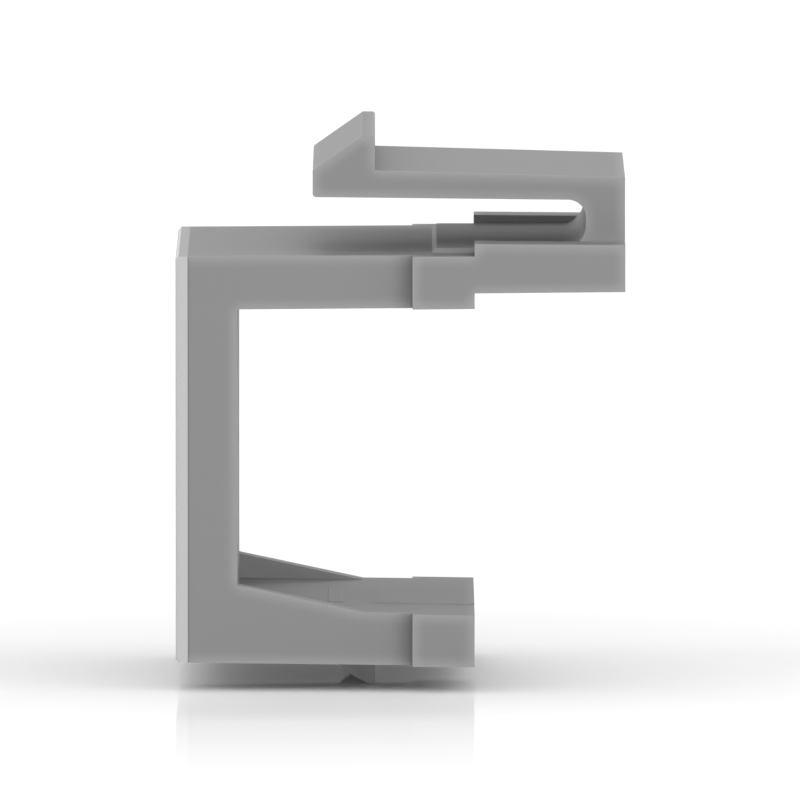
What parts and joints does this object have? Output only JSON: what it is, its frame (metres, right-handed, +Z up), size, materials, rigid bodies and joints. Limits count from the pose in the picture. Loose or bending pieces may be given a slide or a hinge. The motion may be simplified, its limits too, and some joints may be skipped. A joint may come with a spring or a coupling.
{
  "type": "keystone blank insert",
  "caption": "Snap-in blank that closes an unused keystone port, with a flat front, a hairpin latch above and a fixed lip below.",
  "frame": {"origin": "centre of the front face", "axes": "+X runs back from the front face into the panel, +Y across the part, +Z up towards the latch"},
  "size_m": [0.018, 0.0162, 0.0222],
  "materials": {
    "body": "fine matte moulded plastic"
  },
  "bodies": {
    "root": {"keystone_blank": "body"}
  },
  "joints": []
}
